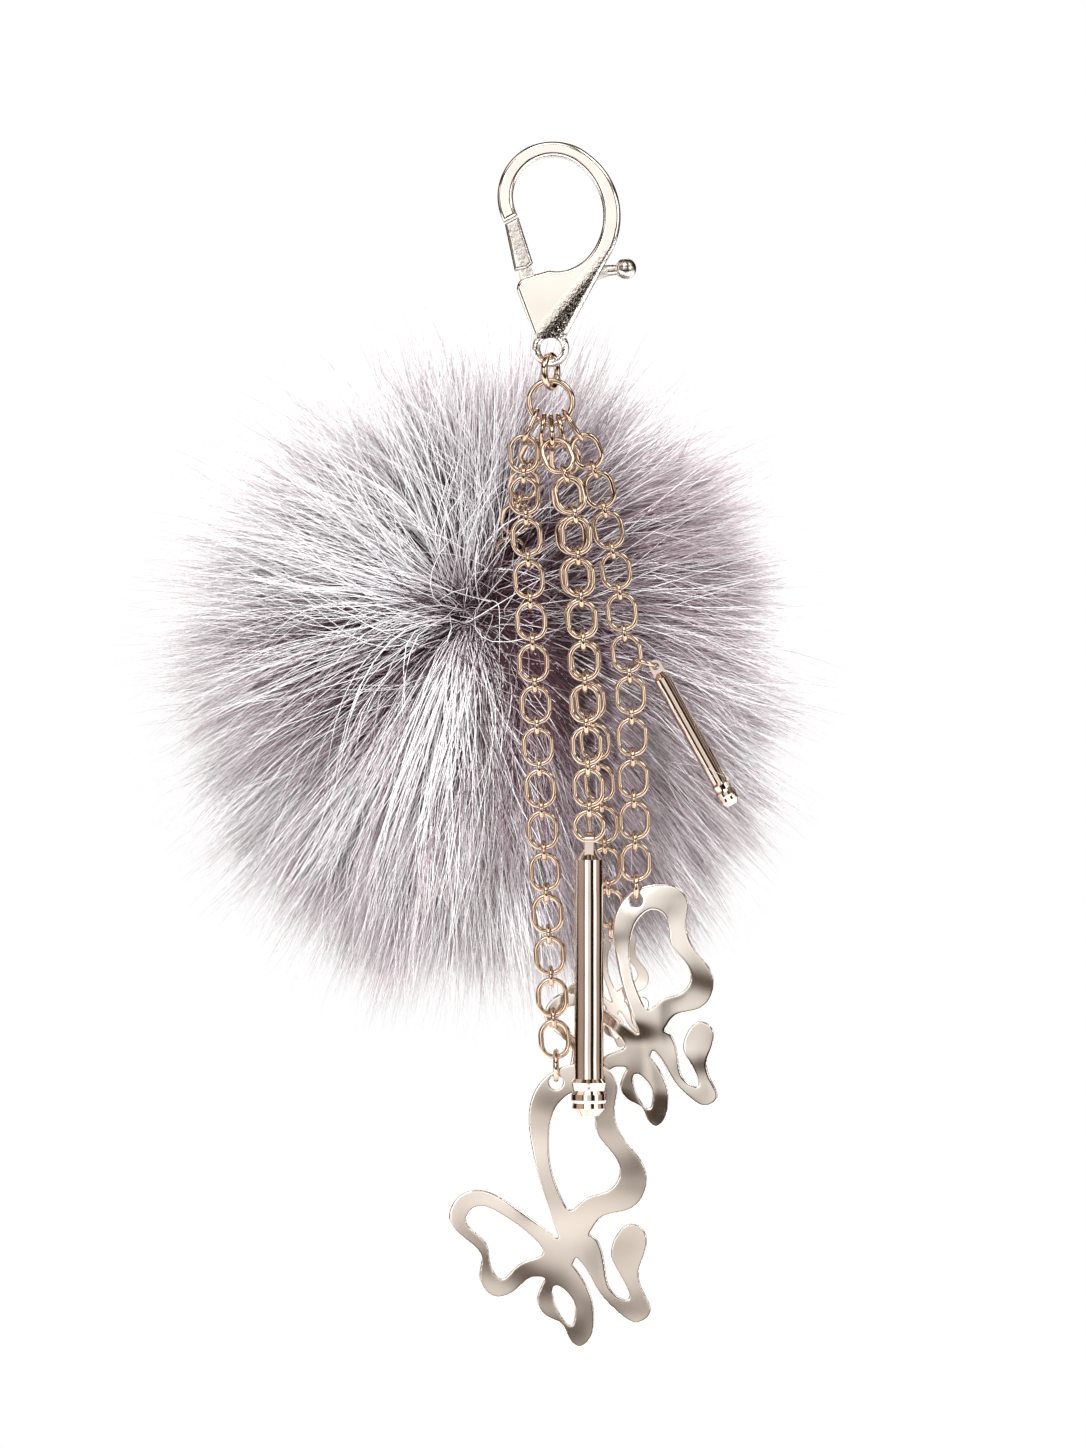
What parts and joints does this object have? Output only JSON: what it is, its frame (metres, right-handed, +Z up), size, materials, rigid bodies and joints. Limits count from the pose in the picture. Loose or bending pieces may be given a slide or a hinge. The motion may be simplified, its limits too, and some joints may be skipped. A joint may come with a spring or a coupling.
{
  "type": "plush keychain",
  "caption": "Bag charm keychain: a trigger clasp and jump rings carry chain strands with bar and butterfly charms, and a long-haired fur pompom.",
  "frame": {"origin": "centre of the clasp's round hook opening", "axes": "+Z up as the keychain hangs, +X to the right seen from the front, +Y to the rear, where the pompom is"},
  "size_m": [0.116, 0.1, 0.2171],
  "materials": {
    "clasp_metal": "polished pale rose gold plating",
    "chain_metal": "polished pale rose gold plating",
    "butterfly_metal": "polished pale rose gold plating",
    "bar_metal": "polished pale rose gold plating",
    "spring_steel": "bright steel wire",
    "stuffed_core": "pelt backing over stuffing",
    "fur": "long silver and mauve grey hair with a plum undercoat"
  },
  "bodies": {
    "clasp": {"clasp_body": "clasp_metal", "gate_pin": "clasp_metal", "gate_spring": "spring_steel"},
    "gate": {"clasp_gate": "clasp_metal"},
    "upper_ring": {"upper_jump_ring": "chain_metal"},
    "lower_ring": {"lower_jump_ring": "chain_metal", "left_strand_top": "chain_metal", "right_strand_top": "chain_metal", "hidden_strand_top": "chain_metal"},
    "front_strand_upper": {"front_strand_top": "chain_metal"},
    "front_strand_lower": {"front_strand_lower": "chain_metal", "round_bar_ring": "chain_metal"},
    "round_bar": {"round_bar": "bar_metal", "round_bar_cap": "bar_metal"},
    "left_strand_middle": {"left_strand_middle": "chain_metal"},
    "left_strand_lower": {"left_strand_lower": "chain_metal", "large_butterfly_ring": "chain_metal"},
    "large_butterfly": {"large_butterfly": "butterfly_metal"},
    "right_strand_lower": {"right_strand_lower": "chain_metal", "second_butterfly_ring": "chain_metal", "thin_bar_ring": "chain_metal"},
    "second_butterfly": {"second_butterfly": "butterfly_metal"},
    "thin_bar": {"thin_bar": "bar_metal", "thin_bar_cap": "bar_metal"},
    "hidden_strand_lower": {"hidden_strand_lower": "chain_metal", "small_butterfly_ring": "chain_metal"},
    "small_butterfly": {"small_butterfly": "butterfly_metal"},
    "pompom": {"pompom_chain": "chain_metal", "pompom_cap": "chain_metal", "pompom_core": "stuffed_core", "pompom_fur": "fur"}
  },
  "joints": [
    {"name": "gate_open", "type": "hinge", "parent": "clasp", "child": "gate", "pos_m": [-0.0039, 0, -0.0172], "axis": [0, 1, 0], "range_deg": [0, 25]},
    {"name": "upper_ring_swing", "type": "hinge", "parent": "clasp", "child": "upper_ring", "pos_m": [-0.0004, 0, -0.0273], "axis": [0, 1, 0], "range_deg": [-25, 25]},
    {"name": "lower_ring_swing", "type": "hinge", "parent": "upper_ring", "child": "lower_ring", "pos_m": [-0.0004, 0, -0.03305], "axis": [-1, 0, 0], "range_deg": [-20, 20]},
    {"name": "front_strand_lift", "type": "hinge", "parent": "lower_ring", "child": "front_strand_upper", "pos_m": [-0.00033, 0, -0.04085], "axis": [-1, 0, 0], "range_deg": [0, 40]},
    {"name": "front_strand_sway", "type": "hinge", "parent": "front_strand_upper", "child": "front_strand_lower", "pos_m": [0.00417, -0.00588, -0.05896], "axis": [0, 1, 0], "range_deg": [-20, 20]},
    {"name": "round_bar_swing", "type": "hinge", "parent": "front_strand_lower", "child": "round_bar", "pos_m": [0.00644, -0.0058, -0.11584], "axis": [-1, 0, 0], "range_deg": [0, 45]},
    {"name": "left_strand_sway", "type": "hinge", "parent": "lower_ring", "child": "left_strand_middle", "pos_m": [-0.00483, 0.00009, -0.05917], "axis": [0, 1, 0], "range_deg": [-15, 15]},
    {"name": "left_strand_lower_sway", "type": "hinge", "parent": "left_strand_middle", "child": "left_strand_lower", "pos_m": [-0.00243, 0, -0.10435], "axis": [0, 1, 0], "range_deg": [-20, 20]},
    {"name": "large_butterfly_sway", "type": "hinge", "parent": "left_strand_lower", "child": "large_butterfly", "pos_m": [0.00054, 0, -0.15899], "axis": [0, 1, 0], "range_deg": [-25, 25]},
    {"name": "right_strand_sway", "type": "hinge", "parent": "lower_ring", "child": "right_strand_lower", "pos_m": [0.00959, 0.00406, -0.05774], "axis": [0, 1, 0], "range_deg": [-15, 15]},
    {"name": "second_butterfly_sway", "type": "hinge", "parent": "right_strand_lower", "child": "second_butterfly", "pos_m": [0.015, 0.0049, -0.12638], "axis": [0, 1, 0], "range_deg": [-14, 25]},
    {"name": "thin_bar_sway", "type": "hinge", "parent": "right_strand_lower", "child": "thin_bar", "pos_m": [0.01843, 0.0049, -0.08432], "axis": [0, 1, 0], "range_deg": [-35, 2]},
    {"name": "hidden_strand_sway", "type": "hinge", "parent": "lower_ring", "child": "hidden_strand_lower", "pos_m": [0.0031, 0.00862, -0.05866], "axis": [0, 1, 0], "range_deg": [-12, 12]},
    {"name": "small_butterfly_sway", "type": "hinge", "parent": "hidden_strand_lower", "child": "small_butterfly", "pos_m": [0.01051, 0.0098, -0.13355], "axis": [0, 1, 0], "range_deg": [-20, 25]},
    {"name": "pompom_swing", "type": "hinge", "parent": "lower_ring", "child": "pompom", "pos_m": [-0.00199, 0, -0.04051], "axis": [1, 0, 0], "range_deg": [0, 25]}
  ]
}
